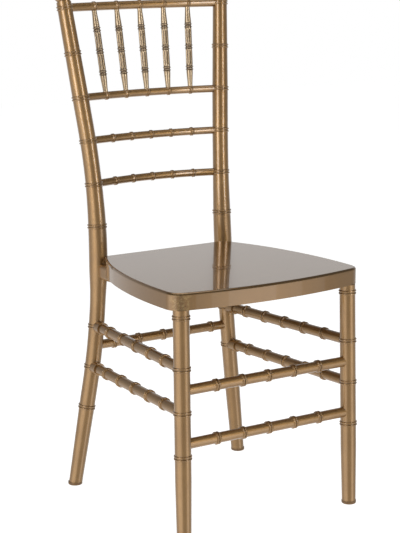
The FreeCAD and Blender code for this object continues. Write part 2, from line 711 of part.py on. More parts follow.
def front_leg(side, sockets):
    """Front leg with its taper, rings, tenon and sockets."""
    axis = front_axis[side]
    low, direction = axis.at(-MARGIN)
    taper = axis.at(size("leg_taper_height"))[0]
    shoulder_height = size("seat_height") - size("skirt_height")
    shoulder = axis.at(shoulder_height)[0]
    run = worked_out(f"leg_{side}_taper", (taper - low).Length)
    rest = worked_out(f"leg_{side}_shaft", (shoulder - taper).Length + MARGIN)
    narrow = primitive("Cone", f"leg_{side}_narrow", placed(low, direction),
                       Radius1="Sizes.foot_radius", Radius2="Sizes.leg_radius", Height=run)
    shaft = cylinder(f"leg_{side}_shaft", taper, direction, "Sizes.leg_radius", rest)
    pieces = [narrow, shaft]
    for name in ("leg_ring", "side_rung_upper", "side_rung_lower", "foot_ring"):
        pieces.append(ring(f"leg_{side}_{name}_beads", axis, name, "Sizes.leg_radius"))
    solid = joined(f"leg_{side}_solid", pieces)
    ceiling = block(f"leg_{side}_ceiling", shoulder, 0, "Sizes.leg_radius")
    levelled = cut(f"leg_{side}_levelled", solid, [floor_block(f"leg_{side}_floor", axis), ceiling])
    tenon = cylinder(f"leg_{side}_tenon", shoulder - direction * MARGIN, direction, "Sizes.tenon_radius",
                     f"Sizes.tenon_length + {MARGIN}")
    whole = joined(f"leg_{side}_whole", [levelled, tenon])
    outwards = outward(side)
    hole = cylinder(f"leg_{side}_screw_hole", locking_screw(side, outwards), outwards,
                    "Sizes.screw_radius + Sizes.fit_clearance", "Sizes.screw_length")
    glide_tool = glide_hole(f"leg_{side}_glide_hole", axis)
    finish(cut(f"front_leg_{side}", whole, [hole, glide_tool] + sockets), f"front_leg_{side}")


# Seat

class SeatPlan:
    """Plan of the seat: bowed front and sides, rounded front corners, straight back."""

    def __init__(self):
        post = rear_axis["right"].at(level("seat_boss"))[0]
        self.back = worked_out("seat_back", post.y - size("seat_back_inset"))
        self.back_spread = worked_out("seat_back_spread", post.x - size("seat_back_narrowing"))
        self.front_centre = Vector(0, size("seat_front_radius") - size("seat_front"), 0)
        self.side_centre = Vector(size("seat_spread") - size("seat_side_radius"), -size("seat_widest"), 0)
        radius = size("seat_corner_radius")
        to_front = size("seat_front_radius") - radius
        to_side = size("seat_side_radius") - radius
        apart = self.side_centre - self.front_centre
        along = (to_front ** 2 - to_side ** 2 + apart.Length ** 2) / (2 * apart.Length)
        across = math.sqrt(to_front ** 2 - along ** 2)
        away = Vector(-apart.y, apart.x, 0) / apart.Length
        self.corner = self.front_centre + apart * (along / apart.Length) + away * across
        worked_out("seat_corner_x", self.corner.x)
        worked_out("seat_corner_y", self.corner.y)
        self.to_front = self.directions("front", self.corner - self.front_centre)
        self.to_side = self.directions("side", self.corner - self.side_centre)
        both = (self.corner - self.front_centre).normalize() + (self.corner - self.side_centre).normalize()
        self.to_corner = self.directions("corner", both)
        bulge = self.bulge()
        worked_out("seat_flank_x", bulge.x)
        worked_out("seat_flank_y", bulge.y)

    def bulge(self):
        """Middle of the arc from a shoulder to a back corner; it runs on from the side's arc."""
        behind = size("seat_shoulder")
        shoulder = Vector(value(self.side_at("Sizes.seat_shoulder", "0")), behind, 0)
        chord = Vector(value(self.back_spread), value(self.back), 0) - shoulder
        outwards = (shoulder - self.side_centre).normalize()
        tangent = Vector(-outwards.y, outwards.x, 0)
        rise = chord.Length / 2 * math.tan(tangent.getAngle(chord) / 2)
        return Vector(chord.y, -chord.x, 0).normalize() * rise

    @staticmethod
    def directions(name, vector):
        """Unit vector kept as two words."""
        unit = Vector(vector).normalize()
        return worked_out(f"seat_{name}_along_x", unit.x), worked_out(f"seat_{name}_along_y", unit.y)

    def on_corner(self, towards, inset):
        """Point of the corner's rounding in a direction, drawn in by an inset."""
        radius = f"(Sizes.seat_corner_radius - {inset})"
        across, back = towards
        return f"Layout.seat_corner_x + {radius}*{across}", f"Layout.seat_corner_y + {radius}*{back}"

    def side_at(self, back, inset):
        """Half width of the plan at a distance behind the origin."""
        radius = f"(Sizes.seat_side_radius - {inset})"
        reach = f"sqrt({radius}^2 - ({back} + Sizes.seat_widest)^2)"
        return f"Sizes.seat_spread - Sizes.seat_side_radius + {reach}"

    def corners(self, inset):
        """Corners of the outline, drawn in by an inset."""
        shoulder = "Sizes.seat_shoulder"
        middle = f"(-Sizes.seat_widest + {shoulder})/2"
        narrow, rear = f"({self.back_spread} - {inset})", f"({self.back} - {inset})"
        flank = (f"({self.side_at(shoulder, inset)} + {narrow})/2 + Layout.seat_flank_x",
                 f"({shoulder} + {rear})/2 + Layout.seat_flank_y", "over")
        half = [self.on_corner(self.to_front, inset), (*self.on_corner(self.to_corner, inset), "over"),
                self.on_corner(self.to_side, inset), (self.side_at(middle, inset), middle, "over"),
                (self.side_at(shoulder, inset), shoulder), flank, (narrow, rear)]
        other = [(f"-({corner[0]})", *corner[1:]) for corner in reversed(half)]
        return [("0", f"-(Sizes.seat_front - {inset})", "over")] + half + other


def seat_prism(name, inset, height, base):
    """Prism of the seat's plan, drawn in by an inset."""
    body = new_body(name)
    pad = body.newObject("PartDesign::Pad", "slab")
    pad.Profile = outline(body, "plan", "XY_Plane", plan.corners(inset))
    pad.setExpression("Length", height)
    body.Tip = pad
    body.Placement = placed(Vector(0, 0, base))
    return body


def seat_blank():
    """Solid seat with its top edge rounded at the front and sides."""
    body = seat_prism("seat_blank", "0", "Sizes.skirt_height", size("seat_height") - size("skirt_height"))
    doc.recompute()
    slab = body.Tip
    rounding = body.newObject("PartDesign::Fillet", "top_edge")
    rim = []
    for number, edge in enumerate(slab.Shape.Edges, 1):
        at_top = abs(edge.CenterOfMass.z - size("skirt_height")) < size("seat_wall") / 2
        if at_top and not isinstance(edge.Curve, Part.Line):
            rim.append(f"Edge{number}")
    rounding.Base = (slab, rim)
    rounding.setExpression("Radius", "Sizes.seat_edge_radius")
    body.Tip = rounding
    return body


def ribs():
    """Grid of ribs under the top sheet, both ways."""
    under = size("seat_height") - size("seat_wall") - size("rib_depth")
    reach = size("seat_spread") + size("seat_front")
    long = "2*(Sizes.seat_spread + Sizes.seat_front)"
    thick, tall = "Sizes.rib_thickness", "Sizes.rib_depth + Sizes.seat_wall"
    pieces = []
    for number in range(RIBS_EACH_WAY):
        offset = (number - (RIBS_EACH_WAY - 1) / 2) * size("rib_pitch") - size("rib_thickness") / 2
        middle = (value(plan.back) - size("seat_front")) / 2
        across = Placement(Vector(-reach, middle + offset, under), Rotation())
        along = Placement(Vector(offset, -reach, under), Rotation())
        pieces.append(primitive("Box", f"rib_across_{number}", across,
                                Length=long, Width=thick, Height=tall))
        pieces.append(primitive("Box", f"rib_along_{number}", along,
                                Length=thick, Width=long, Height=tall))
    return pieces


def back_edge_rounding():
    """Tool that rounds the top of the seat's back edge."""
    reach, radius = size("seat_spread"), "Sizes.seat_edge_radius"
    inset = size("seat_edge_radius")
    inner = Vector(-reach, value(plan.back) - inset, size("seat_height") - inset)
    box = primitive("Box", "back_edge_square", Placement(inner, Rotation()), Length="2*Sizes.seat_spread",
                    Width=f"{radius} + {MARGIN}", Height=f"{radius} + {MARGIN}")
    round_bar = cylinder("back_edge_round", inner, Vector(1, 0, 0), radius, "2*Sizes.seat_spread")
    return cut("back_edge_rounding", box, [round_bar])


def rear_block_front(side):
    """Face of a rear block that the post's bracket meets."""
    return rear_axis[side].at(level("seat_boss"))[0].y - size("seat_boss_reach")


def rear_box(name, side, front, length, height):
    """Box from a shoulder inboard of a bracket out past the seat's side edge."""
    sign = dict(SIDES)[side]
    near = sign * rear_axis[side].at(level("seat_boss"))[0].x
    near -= size("seat_boss_width") / 2 + size("rear_block_shoulder")
    far = size("seat_spread")
    corner = Vector(near if sign > 0 else -far, front, size("seat_height") - size("skirt_height") - MARGIN)
    box = primitive("Box", name, Placement(corner, Rotation()), Width=length, Height=height)
    box.setExpression("Length", worked_out(f"{name}_width", far - near))
    return box


def seat_blocks():
    """Solid blocks left in the seat's four corners."""
    base = size("seat_height") - size("skirt_height")
    blocks = []
    for side, _ in SIDES:
        low, direction = front_axis[side].at(base - MARGIN)
        blocks.append(cylinder(f"leg_block_{side}", low, direction, "Sizes.corner_block_radius",
                               f"Sizes.skirt_height + 2*{MARGIN}"))
        front = rear_block_front(side) - size("rear_block_length")
        blocks.append(rear_box(f"bolt_block_{side}", side, front,
                               "Sizes.rear_block_length", f"Sizes.skirt_height + 2*{MARGIN}"))
    return blocks


def seat_openings():
    """Tools for the seat's sockets, notches and screw holes."""
    base = size("seat_height") - size("skirt_height")
    tools = []
    for side, _ in SIDES:
        shoulder, direction = front_axis[side].at(base)
        tools.append(cylinder(f"tenon_socket_{side}", shoulder - direction * MARGIN, direction,
                              "Sizes.tenon_radius + Sizes.fit_clearance",
                              f"Sizes.tenon_length + Sizes.tenon_end_gap + {MARGIN}"))
        outwards = outward(side)
        head = locking_screw(side, outwards)
        tools.append(cylinder(f"screw_hole_{side}", head, outwards,
                              "Sizes.screw_radius + Sizes.fit_clearance", "Sizes.screw_length"))
        tools.append(cylinder(f"screw_recess_{side}", head, -outwards,
                              "Sizes.screw_head_radius + Sizes.fit_clearance", "Sizes.corner_block_radius"))
        post, lean = rear_axis[side].at(level("seat_joint"))
        start = post - lean * size("skirt_height")
        tools.append(cylinder(f"post_notch_{side}", start, lean,
                              "Sizes.post_seat_radius + Sizes.seat_clearance", "2*Sizes.skirt_height"))
        front = rear_block_front(side)
        tools.append(rear_box(f"bracket_slot_{side}", side, front, "Sizes.seat_boss_reach",
                              f"Sizes.skirt_height - Sizes.seat_wall + {MARGIN}"))
        bolt = bolt_start(side)
        mouth = Vector(bolt.x, front, bolt.z)
        tools.append(cylinder(f"insert_hole_{side}", mouth, FORWARD,
                              "Sizes.insert_radius + Sizes.fit_clearance", "Sizes.insert_length"))
    return tools


def seat():
    """Hollow seat: the blank less what lies between its ribs and blocks."""
    base = size("seat_height") - size("skirt_height") - MARGIN
    depth = f"Sizes.skirt_height - Sizes.seat_wall + {MARGIN}"
    hollow = seat_prism("seat_hollow", "Sizes.seat_wall", depth, base)
    cells = cut("seat_cells", hollow, ribs() + seat_blocks())
    return cut("seat_shell", seat_blank(), [cells, back_edge_rounding()] + seat_openings())


# Fasteners

def group(name, pieces):
    """Equal fasteners kept together in one node."""
    together = doc.addObject("Part::Compound", name)
    together.Links = pieces
    finish(together, name)


def seat_bolts():
    bolts = []
    for side, _ in SIDES:
        head = bolt_start(side)
        shank = cylinder(f"bolt_{side}_shank", head, FORWARD, "Sizes.bolt_radius",
                         "Sizes.bolt_head_setback + Sizes.seat_boss_reach + Sizes.insert_length")
        button = cylinder(f"bolt_{side}_head", head, -FORWARD,
                          "Sizes.bolt_head_radius", "Sizes.bolt_head_height")
        mouth = head + Vector(0, size("bolt_head_height") - size("bolt_key_depth"), 0)
        key = primitive("Prism", f"bolt_{side}_key", placed(mouth, -FORWARD),
                        Circumradius=f"Sizes.bolt_key_size/{math.sqrt(3)}", Height="2*Sizes.bolt_key_depth")
        bolts.append(cut(f"bolt_{side}", joined(f"bolt_{side}_blank", [button, shank]), [key]))
    group("seat_bolts", bolts)


def bolt_inserts():
    inserts = []
    for side, _ in SIDES:
        bolt = bolt_start(side)
        mouth = Vector(bolt.x, rear_block_front(side), bolt.z)
        sleeve = cylinder(f"insert_{side}_sleeve", mouth, FORWARD,
                          "Sizes.insert_radius", "Sizes.insert_length")
        bore = cylinder(f"insert_{side}_bore", mouth, FORWARD, "Sizes.bolt_radius + Sizes.fit_clearance",
                        "Sizes.insert_length")
        inserts.append(cut(f"insert_{side}", sleeve, [bore]))
    group("bolt_inserts", inserts)


def leg_screws():
    screws = []
    for side, _ in SIDES:
        outwards = outward(side)
        head = locking_screw(side, outwards)
        shank = cylinder(f"screw_{side}_shank", head, outwards, "Sizes.screw_radius", "Sizes.screw_length")
        button = cylinder(f"screw_{side}_head", head, -outwards, "Sizes.screw_head_radius",
                          "Sizes.screw_head_height")
        screws.append(joined(f"screw_{side}", [button, shank]))
    group("leg_screws", screws)


# The chair, piece by piece

plan = SeatPlan()
finish(seat(), "seat_shell")
rails = {
    "crest_rail": Rail("crest_rail", "crest_rail_radius", "crest_ring_pitch"),
    "spindle_rail": Rail("spindle_rail", "rail_radius", "spindle_ring_pitch"),
    "upper_back_rail": Rail("upper_back_rail", "rail_radius", "back_rail_ring_pitch"),
    "lower_back_rail": Rail("lower_back_rail", "rail_radius", "back_rail_ring_pitch"),
}
for rail in rails.values():
    rail.build()

spindle_sockets = []
for number in range(SPINDLES):
    place = number - (SPINDLES - 1) / 2
    foot = rails["spindle_rail"].point(place * size("spindle_ring_pitch"))
    top = rails["crest_rail"].point(place * size("crest_ring_pitch"))
    spindle_sockets.append(spindle(f"spindle_{number + 1}", foot, top))
for name, rail in rails.items():
    if name in ("crest_rail", "spindle_rail"):
        finish(cut(f"{name}_bored", rail.body, spindle_sockets), name)
    else:
        finish(rail.body, name)

front_pair = [(front_axis[side], "leg_radius") for side in ("left", "right")]
rear_pair = [(rear_axis[side], "post_leg_radius") for side in ("left", "right")]
leg_sockets = {"left": [], "right": []}
post_sockets = {side: [rail.socket for rail in rails.values()] for side, _ in SIDES}
post_bosses = {"left": [], "right": []}
for tier in ("upper", "lower"):
    height = level(f"front_rung_{tier}")
    socket, _ = rung(f"front_rung_{tier}", front_pair, height, "Sizes.front_rung_radius")
    for side in leg_sockets:
        leg_sockets[side].append(socket)
back_socket, _ = rung("back_rung", rear_pair, level("back_rung"), "Sizes.back_rung_radius")
for side in post_sockets:
    post_sockets[side].append(back_socket)
for tier in ("upper", "lower"):
    for side in ("left", "right"):
        ends = [(rear_axis[side], "post_leg_radius"), (front_axis[side], "leg_radius")]
        height = level(f"side_rung_{tier}")
        name = f"side_rung_{tier}_{side}"
        socket, boss = rung(name, ends, height, "Sizes.side_rung_radius", bosses=True)
        post_sockets[side].append(socket)
        leg_sockets[side].append(socket)
        post_bosses[side].append(boss)

for side, _ in SIDES:
    finish(rear_post(side, post_bosses[side], post_sockets[side]), f"rear_post_{side}")
    post_cap(side)
    front_leg(side, leg_sockets[side])
    glide(f"glide_rear_{side}", rear_axis[side])
    glide(f"glide_front_{side}", front_axis[side])
seat_bolts()
bolt_inserts()
leg_screws()

# Checking and writing

doc.recompute()
for thing in doc.Objects:
    if "Invalid" in thing.State or "Error" in thing.State:
        raise RuntimeError(f"{thing.Label} failed: {thing.State}")
os.makedirs("parts", exist_ok=True)
for thing in finished:
    if thing.Shape.isNull() or not thing.Shape.isValid():
        raise RuntimeError(f"{thing.Label} has no valid shape")
    thing.Shape.exportStep(f"parts/{thing.Label}.step")
    print(f"{thing.Label}: {thing.Shape.Volume / 1000:.1f} cm3, {len(thing.Shape.Solids)} solid(s)")
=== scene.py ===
import json
import math

import bmesh
import bpy
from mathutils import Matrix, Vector

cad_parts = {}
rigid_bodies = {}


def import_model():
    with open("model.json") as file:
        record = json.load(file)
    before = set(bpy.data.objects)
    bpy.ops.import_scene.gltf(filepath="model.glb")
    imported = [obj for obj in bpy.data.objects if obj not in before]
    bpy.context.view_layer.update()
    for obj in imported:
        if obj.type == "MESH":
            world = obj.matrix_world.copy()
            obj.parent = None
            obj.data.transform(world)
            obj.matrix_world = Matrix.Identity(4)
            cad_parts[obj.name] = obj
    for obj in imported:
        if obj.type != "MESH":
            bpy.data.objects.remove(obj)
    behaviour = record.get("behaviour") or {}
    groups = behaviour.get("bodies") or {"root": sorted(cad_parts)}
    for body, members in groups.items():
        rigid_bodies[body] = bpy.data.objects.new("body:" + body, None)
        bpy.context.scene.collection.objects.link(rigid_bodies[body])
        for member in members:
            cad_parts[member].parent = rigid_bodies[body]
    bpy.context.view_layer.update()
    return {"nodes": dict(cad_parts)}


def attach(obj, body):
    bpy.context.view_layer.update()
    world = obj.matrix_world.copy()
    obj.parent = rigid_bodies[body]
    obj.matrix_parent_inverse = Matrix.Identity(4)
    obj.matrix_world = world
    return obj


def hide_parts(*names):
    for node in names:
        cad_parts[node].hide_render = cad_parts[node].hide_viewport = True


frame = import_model()

scene = bpy.context.scene
scene.view_settings.view_transform = "Standard"

# Colours are sRGB from 0 to 255. Lengths are in metres unless a name or comment says otherwise.
WHITE = (1, 1, 1, 1)

# Lacquer: clouds of tone (scale, detail and roughness of their noise), metal flakes, an orange peel
# ripple and painted shade that darkens the colour in grooves
METAL = 0.9
COAT_IOR = 1.6
CLOUD = (16, 3, 0.6)
FLAKE_SCALE = 2600
FLAKE_SHARE = 0.22
FLAKE_DARK = (96, 68, 36)
FLAKE_LIGHT = (206, 170, 118)
GLOSS_SCALE = 60
GLOSS_SPREAD = 0.045
RIPPLE_SCALE = 210
RIPPLE_STRENGTH = 0.08
RIPPLE_HEIGHT = 0.0006
GROOVE_REACH = 0.004
GROOVE_PAINTED_SHADE = 0.5

# Seat: base tones, roughness of skirt and top, and on its front left corner a painted highlight among
# chips of wear
SEAT_DARK = (143, 109, 67)
SEAT_LIGHT = (148, 114, 71)
SEAT_COAT_ROUGHNESS = 0.015
SEAT_RIPPLE = 0.004
SKIRT_ROUGHNESS = 0.4
TOP_ROUGHNESS = 0.24
CORNER_HIGHLIGHT_AND_CHIP_PLACE = (-0.192, -0.217, 0.437)
CORNER_HIGHLIGHT_AND_CHIP_INNER = 0.013
CORNER_HIGHLIGHT_AND_CHIP_OUTER = 0.026
CORNER_HIGHLIGHT = (184, 154, 102)
CORNER_HIGHLIGHT_NOISE = (190, 4, 0.7)
SCUFF_CHIP = (92, 70, 40)
SCUFF_CHIP_SCALE = 420

# Spindles: turned shafts with three rings and a reeded middle. Radii and depths are in mm.
SPINDLES = 5
STATIONS = 240
SIDES = 64
END_RADIUS = 4.7
MIDDLE_RADIUS = 6.65
RING_SINK = 0.4
RING_HEIGHT = 1.6
REED_DEPTH = 1.1
REEDS = 7
REED_SHARPNESS = 1.5
# Places along a spindle, as shares of its length counted from its middle
RINGS = (-0.25, 0.0, 0.25)
RING_HALF = 0.032
REED_FADE = 0.02
TAPER_OVERLAP = 0.05
TAPER_END = 0.48
# Depth given to the middle of a ring, and the depth from which a face counts as a groove and takes the
# dark lacquer of painted shade
RING_GROOVE = 1.3
GROOVE_FROM = 0.58
# Height of the slices at both ends that give a spindle's axis
END_SLICE = 0.004

# Studio: level of the room's light and how it changes upward, to the left and behind the chair
ROOM_LEVEL = 0.4
ROOM_LEAST = 0.12
ROOM_LEFT = 0.08
ROOM_BACK = 0.06
ROOM_UP = -0.55
GLOW = 0.32
GLOW_SHARPNESS = 3
FLOOR_SIZE = 12
FLOOR_GREY = (0.5, 0.5, 0.5, 1)
FLOOR_GLOW = 0.9

# Upright lamps: name, degrees left of the camera, distance, width, bottom, top, radiance
BAND_LAMPS = (
    ("left_lamp", 41, 2.3, 1.0, 0.5, 2.2, 4.6),
    ("right_lamp", -52, 2.3, 0.5, 0.5, 2.2, 6.5),
)
LOW_LAMPS = (
    ("left_low_lamp", 50, 2.3, 3.6, -1.4, 0.5, 0.45),
    ("left_inner_lamp", 46, 2.25, 2.2, -1.4, 0.5, 0.4),
    ("right_low_lamp", -62, 2.3, 1.8, -1.4, 0.5, 0.35),
    ("right_middle_lamp", -60, 2.25, 1.2, -1.4, 0.5, 0.35),
    ("right_inner_lamp", -58, 2.2, 0.6, -1.4, 0.5, 0.5),
)
TOP_LAMP_HEIGHT = 2.6
TOP_LAMP_SIZE = 2
TOP_LAMP_RADIANCE = 1.2

# Camera, fitted to the photograph of 400 x 533 px, with its turn and tilt in degrees
CAMERA_PLACE = (-1.7085, -2.5614, 1.094)
CAMERA_TURN = 33.56
CAMERA_DOWN = 11.77
SENSOR_MM = 36
PHOTO_HEIGHT_PX = 533
FOCAL_LENGTH_PX = 1672
SHIFT_PX = -6.5


def linear(red, green, blue):
    """Linear colour of an sRGB one given in 0 to 255."""
    def one(c):
        c /= 255
        return c / 12.92 if c <= 0.04045 else ((c + 0.055) / 1.055) ** 2.4
    return one(red), one(green), one(blue), 1


def plug(links, value, socket):
    """Links an output to a socket, or sets the socket to a plain value."""
    if hasattr(value, "is_output"):
        links.new(value, socket)
    else:
        socket.default_value = value


class Paint:
    """A node material that is put together step by step."""

    def __init__(self, name):
        self.material = bpy.data.materials.new(name)
        self.material.use_nodes = True
        self.nodes = self.material.node_tree.nodes
        self.links = self.material.node_tree.links
        self.bsdf = self.nodes["Principled BSDF"]
        self.place = self.nodes.new("ShaderNodeTexCoord").outputs["Object"]

    def set(self, **values):
        for word, value in values.items():
            self.bsdf.inputs[word.replace("_", " ")].default_value = value

    def feed(self, **sources):
        for word, source in sources.items():
            self.links.new(source, self.bsdf.inputs[word.replace("_", " ")])

    def noise(self, scale, detail=2, roughness=0.5):
        node = self.nodes.new("ShaderNodeTexNoise")
        node.inputs["Scale"].default_value = scale
        node.inputs["Detail"].default_value = detail
        node.inputs["Roughness"].default_value = roughness
        self.links.new(self.place, node.inputs["Vector"])
        return node.outputs["Fac"]

    def ramp(self, factor, *stops):
        """Colours or grey levels between stops, each given as (position, colour or level)."""
        node = self.nodes.new("ShaderNodeValToRGB")
        band = node.color_ramp
        while len(band.elements) < len(stops):
            band.elements.new(0.5)
        for element, (at, colour) in zip(band.elements, stops):
            element.position = at
            element.color = colour if isinstance(colour, tuple) else (colour, colour, colour, 1)
        self.links.new(factor, node.inputs["Fac"])
        return node.outputs["Color"]

    def mix(self, factor, first, second, blend="MIX"):
        """Blend of two colours, by the colour sockets A and B of the mix node."""
        node = self.nodes.new("ShaderNodeMix")
        node.data_type = "RGBA"
        node.blend_type = blend
        plug(self.links, factor, node.inputs["Factor"])
        plug(self.links, first, node.inputs[6])
        plug(self.links, second, node.inputs[7])
        return node.outputs[2]

    def painted_shade(self, colour):
        """Painted shade: a colour made darker deep in grooves and corners, where ambient occlusion finds
        them.
        """
        node = self.nodes.new("ShaderNodeAmbientOcclusion")
        node.only_local = True
        node.samples = 8
        node.inputs["Distance"].default_value = GROOVE_REACH
        shade = self.ramp(node.outputs["AO"], (0.4, GROOVE_PAINTED_SHADE), (0.85, 1.0))
        return self.mix(1, colour, shade, "MULTIPLY")

    def closeness(self, place, inner, outer):
        """1 within the inner distance of a place, 0 beyond the outer one."""
        distance = self.nodes.new("ShaderNodeVectorMath")
        distance.operation = "DISTANCE"
        distance.inputs[1].default_value = place
        self.links.new(self.place, distance.inputs[0])
        fall = self.nodes.new("ShaderNodeMapRange")
        fall.inputs["From Min"].default_value = outer
        fall.inputs["From Max"].default_value = inner
        self.links.new(distance.outputs["Value"], fall.inputs["Value"])
        return fall.outputs[0]

    def both(self, first, second):
        """Product of two masks."""
        node = self.nodes.new("ShaderNodeMath")
        node.operation = "MULTIPLY"
        self.links.new(first, node.inputs[0])
        self.links.new(second, node.inputs[1])
        return node.outputs[0]

    def bump(self, height, strength, distance):
        node = self.nodes.new("ShaderNodeBump")
        node.inputs["Strength"].default_value = strength
        node.inputs["Distance"].default_value = distance
        self.links.new(height, node.inputs["Height"])
        return node.outputs["Normal"]


def lacquer(name, dark, light, rough, coat_rough):
    """Metallic lacquer on moulded resin, with painted shade making it a little darker in grooves and
    corners.
    """
    paint = Paint(name)
    paint.set(Metallic=METAL, Coat_Weight=1, Coat_Roughness=coat_rough, Coat_IOR=COAT_IOR)
    colour = paint.ramp(paint.noise(*CLOUD), (0.32, linear(*dark)), (0.68, linear(*light)))
    flake = paint.ramp(paint.noise(FLAKE_SCALE, 1),
                       (0.35, linear(*FLAKE_DARK)), (0.65, linear(*FLAKE_LIGHT)))
    paint.feed(Base_Color=paint.painted_shade(paint.mix(FLAKE_SHARE, colour, flake)))
    paint.feed(Roughness=paint.ramp(paint.noise(GLOSS_SCALE, 3),
                                    (0.3, rough - GLOSS_SPREAD), (0.7, rough + GLOSS_SPREAD)))
    paint.feed(Normal=paint.bump(paint.noise(RIPPLE_SCALE), RIPPLE_STRENGTH, RIPPLE_HEIGHT))
    return paint.material


def seat_lacquer(name):
    """The same lacquer, mirror smooth on top, softer on the skirt, with a painted highlight and chips of
    wear at one front corner.
    """
    paint = Paint(name)
    paint.set(Metallic=METAL, Coat_Weight=1, Coat_Roughness=SEAT_COAT_ROUGHNESS, Coat_IOR=COAT_IOR)
    colour = paint.ramp(paint.noise(*CLOUD), (0.3, linear(*SEAT_DARK)), (0.7, linear(*SEAT_LIGHT)))
    near = paint.closeness(CORNER_HIGHLIGHT_AND_CHIP_PLACE, CORNER_HIGHLIGHT_AND_CHIP_INNER, CORNER_HIGHLIGHT_AND_CHIP_OUTER)
    # A lighter patch on the rounded front left corner is a painted highlight; the dark chips mixed in
    # after it are wear
    highlight = paint.both(near, paint.ramp(paint.noise(*CORNER_HIGHLIGHT_NOISE), (0.47, 0.0), (0.58, 0.75)))
    colour = paint.mix(highlight, colour, linear(*CORNER_HIGHLIGHT))
    chips = paint.both(near, paint.ramp(paint.noise(SCUFF_CHIP_SCALE), (0.62, 0.0), (0.7, 0.8)))
    colour = paint.mix(chips, colour, linear(*SCUFF_CHIP))
    # Painted shade darkens the seat's colour in grooves and corners
    paint.feed(Base_Color=paint.painted_shade(colour))
    upward = paint.nodes.new("ShaderNodeSeparateXYZ")
    normal = paint.nodes.new("ShaderNodeNewGeometry").outputs["Normal"]
    paint.links.new(normal, upward.inputs[0])
    paint.feed(Roughness=paint.ramp(upward.outputs["Z"],
                                    (0.3, SKIRT_ROUGHNESS), (0.95, TOP_ROUGHNESS)))
    paint.feed(Normal=paint.bump(paint.noise(RIPPLE_SCALE), SEAT_RIPPLE, RIPPLE_HEIGHT))
    return paint.material


def plain(name, dark, light, metallic, rough, grain):
    """A plain material with a fine grain."""
    paint = Paint(name)
    paint.set(Metallic=metallic)
    tone = paint.noise(grain, 3, 0.6)
    paint.feed(Base_Color=paint.ramp(tone, (0.3, linear(*dark)), (0.7, linear(*light))))
    paint.feed(Roughness=paint.ramp(paint.noise(grain * 2), (0.3, rough - 0.05), (0.7, rough + 0.08)))
    paint.feed(Normal=paint.bump(paint.noise(grain * 4), 0.15, 0.0002))
    return paint.material


materials = {
    "frame_lacquer": lacquer("frame_lacquer", (144, 107, 60), (158, 120, 70), 0.42, 0.12),
    "seat_lacquer": seat_lacquer("seat_lacquer"),
    "spindle_lacquer": lacquer("spindle_lacquer", (168, 146, 114), (182, 160, 128), 0.36, 0.12),
    # A darker copy of the spindle lacquer: painted shade for the deep faces of rings and reeds
    "groove_painted_shade": lacquer("groove_painted_shade", (72, 54, 34), (84, 64, 42), 0.5, 0.2),
    "glide_lacquer": plain("glide_lacquer", (96, 72, 44), (128, 98, 62), 0.2, 0.45, 300),
    "bolt_steel": plain("bolt_steel", (60, 60, 62), (96, 96, 98), 1, 0.38, 500),
    "screw_steel": plain("screw_steel", (138, 138, 136), (176, 176, 172), 1, 0.32, 500),
    "insert_brass": plain("insert_brass", (158, 124, 62), (192, 156, 88), 1, 0.34, 500),
}
NODE_MATERIALS = {
    "seat_shell": "seat_lacquer",
    "bolt_inserts": "insert_brass",
    "leg_screws": "screw_steel",
    "seat_bolts": "bolt_steel",
}


def material_of(name):
    """Material of a node of the solids."""
    if name.startswith("glide_"):
        return materials["glide_lacquer"]
    return materials[NODE_MATERIALS.get(name, "frame_lacquer")]


for name, node in frame["nodes"].items():
    for slot in node.material_slots:
        slot.material = material_of(name)
    if not node.material_slots:
        node.data.materials.append(material_of(name))


def smooth(low, high, x):
    """Smooth step from 0 at low to 1 at high."""
    t = min(max((x - low) / (high - low), 0), 1)
    return t * t * (3 - 2 * t)


def spindle_surface(place, angle):
    """Radius in mm at a place along the spindle, from -0.5 to 0.5, and an angle about it, and
    how deep that spot lies in a groove, from 0 to about 1, which decides where shade is painted."""
    outer = RINGS[-1] + RING_HALF
    taper = smooth(outer - TAPER_OVERLAP, TAPER_END, abs(place))
    body = MIDDLE_RADIUS + (END_RADIUS - MIDDLE_RADIUS) * taper
    nearest = min(abs(place - ring) for ring in RINGS)
    if nearest < RING_HALF:
        bead = math.sin(math.pi * min(max((nearest / RING_HALF - 0.2) / 0.6, 0), 1))
        return body - RING_SINK + RING_HEIGHT * bead, RING_GROOVE - bead
    between = smooth(RING_HALF, RING_HALF + REED_FADE, nearest)
    between *= smooth(outer, outer - REED_FADE, abs(place))
    valley = (0.5 - 0.5 * math.cos(REEDS * angle)) ** REED_SHARPNESS
    return body - REED_DEPTH * between * valley, between * valley


def spindle_ends(node):
    """Both ends of a solid spindle on its own axis, and that axis."""
    corners = [node.matrix_world @ v.co for v in node.data.vertices]
    middle = sum(corners, Vector()) / len(corners)
    top = max(c.z for c in corners)
    bottom = min(c.z for c in corners)
    upper = [c for c in corners if c.z > top - END_SLICE]
    lower = [c for c in corners if c.z < bottom + END_SLICE]
    head = sum(upper, Vector()) / len(upper)
    foot = sum(lower, Vector()) / len(lower)
    axis = (head - foot).normalized()
    reach = [(c - middle).dot(axis) for c in corners]
    return middle + min(reach) * axis, middle + max(reach) * axis, axis


